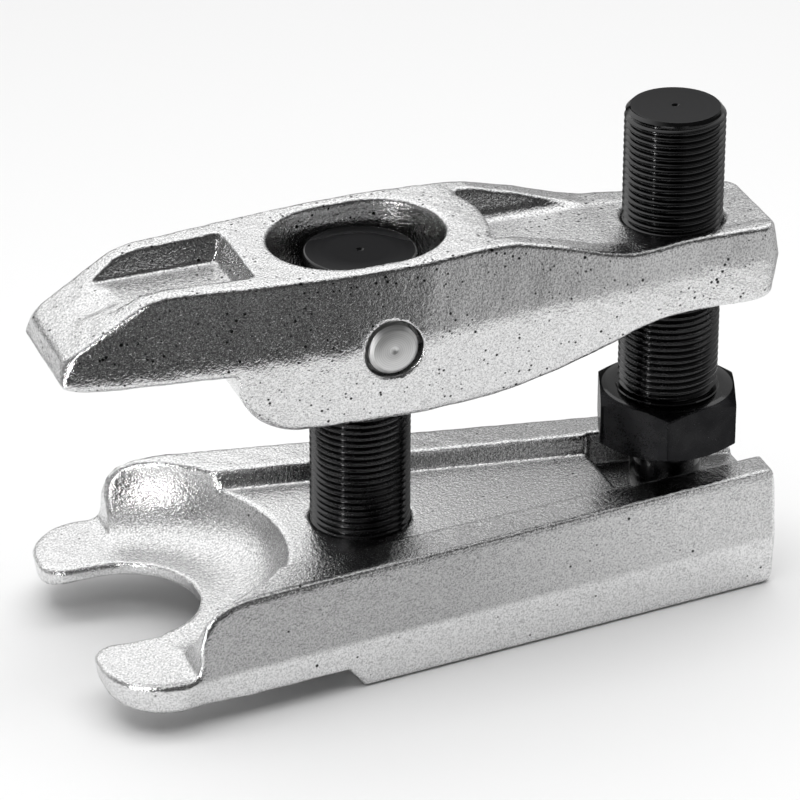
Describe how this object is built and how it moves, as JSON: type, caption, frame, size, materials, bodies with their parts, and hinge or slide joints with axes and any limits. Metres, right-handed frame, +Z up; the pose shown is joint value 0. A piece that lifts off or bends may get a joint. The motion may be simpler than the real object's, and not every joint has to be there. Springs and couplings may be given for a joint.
{
  "type": "ball joint separator",
  "caption": "Forged fork with a hinged forged lever on a fulcrum spindle; a hexagon-headed pressure spindle lifts the lever's tail so its nose presses a ball joint out.",
  "frame": {"origin": "centre of the footprint, on the underside of the fork", "axes": "+X from the fork's tips to the tail, Y across the tool, +Z up along the spindles"},
  "size_m": [0.1616, 0.078, 0.1107],
  "materials": {
    "forged_steel": "shot-blasted satin plated forging",
    "black_steel": "black oxide, lightly oiled",
    "bright_steel": "turned bright steel"
  },
  "bodies": {
    "fork": {"lower_fork": "forged_steel"},
    "fulcrum": {"fulcrum_spindle": "black_steel"},
    "lever": {"upper_lever": "forged_steel", "pivot_pin": "bright_steel"},
    "thrust": {"thrust_ball": "bright_steel"},
    "pressure_screw": {"pressure_spindle": "black_steel"},
    "foot": {"thrust_pad": "black_steel", "retaining_ring": "bright_steel"}
  },
  "joints": [
    {"name": "fulcrum_height", "type": "slide", "parent": "fork", "child": "fulcrum", "axis": [0, 0, 1], "range_m": [0, 0.012]},
    {"name": "lever_tilt", "type": "hinge", "parent": "fulcrum", "child": "lever", "pos_m": [-0.01075, 0, 0.074], "axis": [0, -1, 0], "range_deg": [-4.9, 7.7]},
    {"name": "pressure_feed", "type": "slide", "parent": "lever", "child": "thrust", "axis": [0, 0, -1], "range_m": [-0.0061, 0.0096]},
    {"name": "spindle_turn", "type": "hinge", "parent": "thrust", "child": "pressure_screw", "pos_m": [0.06055, 0, 0.0384], "axis": [0, 0, -1], "range_deg": [-1440, 2280]},
    {"name": "foot_swivel", "type": "hinge", "parent": "thrust", "child": "foot", "pos_m": [0.06055, 0, 0.027], "axis": [0, -1, 0], "range_deg": [-7.7, 4.9]}
  ],
  "couplings": [
    {"joint": "pressure_feed", "follows": "spindle_turn", "m_per_rad": 0.00023873},
    {"joint": "lever_tilt", "follows": "spindle_turn", "ratio": 0.0033483},
    {"joint": "foot_swivel", "follows": "spindle_turn", "ratio": -0.0033483}
  ]
}
